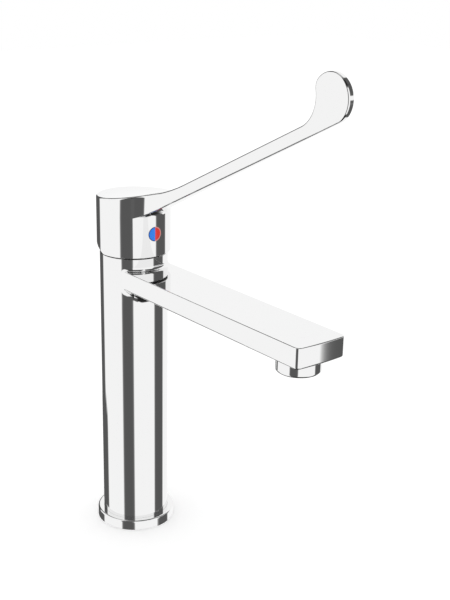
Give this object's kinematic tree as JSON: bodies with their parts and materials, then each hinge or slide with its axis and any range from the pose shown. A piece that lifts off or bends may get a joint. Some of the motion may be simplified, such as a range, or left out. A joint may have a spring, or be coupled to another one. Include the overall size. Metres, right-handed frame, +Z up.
{
  "type": "basin mixer tap",
  "caption": "Tall single-lever basin mixer tap: round column, flat rectangular spout with an aerator, and a long rising lever that ends in a round paddle.",
  "frame": {"origin": "on the column's axis, in the plane of the deck that the base flange stands on", "axes": "+Z up along the column, +X from the column towards the spout's end, which is also where the closed lever points, +Y to the side of the hot half of the temperature plug"},
  "size_m": [0.2441, 0.059, 0.3673],
  "materials": {
    "chrome": "mirror polished",
    "brass": "machined",
    "rubber": "matt",
    "steel": "bright drawn",
    "cartridge_plastic": "moulded",
    "ceramic": "lapped ceramic",
    "glide_plastic": "moulded",
    "aerator_plastic": "moulded",
    "cold_blue": "gloss",
    "hot_red": "gloss"
  },
  "bodies": {
    "fixed": {"body": "chrome", "base_flange": "chrome", "base_seal": "rubber", "base_insert": "brass", "waterway_insert": "brass", "insert_ring": "steel", "insert_seal_upper": "rubber", "insert_seal_lower": "rubber", "cartridge_base": "cartridge_plastic", "port_seals": "rubber", "disc_seals": "rubber", "cartridge_housing": "cartridge_plastic", "fixed_disc": "ceramic", "cartridge_nut": "brass", "glide_ring": "glide_plastic", "aerator_housing": "chrome", "aerator_insert": "aerator_plastic", "aerator_screen": "steel", "aerator_gasket": "rubber"},
    "turret": {"rotor": "cartridge_plastic", "rotor_seal": "rubber", "pivot_pin": "steel"},
    "slider": {"disc_carrier": "cartridge_plastic", "moving_disc": "ceramic"},
    "handle": {"lever": "chrome", "stem": "brass", "grub_screw": "steel", "index_blue": "cold_blue", "index_red": "hot_red"}
  },
  "joints": [
    {"name": "swivel", "type": "hinge", "parent": "fixed", "child": "turret", "pos_m": [0, 0, 0.213], "axis": [0, 0, 1], "range_deg": [-50, 50]},
    {"name": "lift", "type": "hinge", "parent": "turret", "child": "handle", "pos_m": [0, 0, 0.213], "axis": [0, -1, 0], "range_deg": [0, 24]},
    {"name": "carrier_slide", "type": "slide", "parent": "turret", "child": "slider", "axis": [1, 0, 0], "range_m": [0, 0.00415]}
  ],
  "couplings": [
    {"joint": "carrier_slide", "follows": "lift", "m_per_rad": 0.0099}
  ]
}
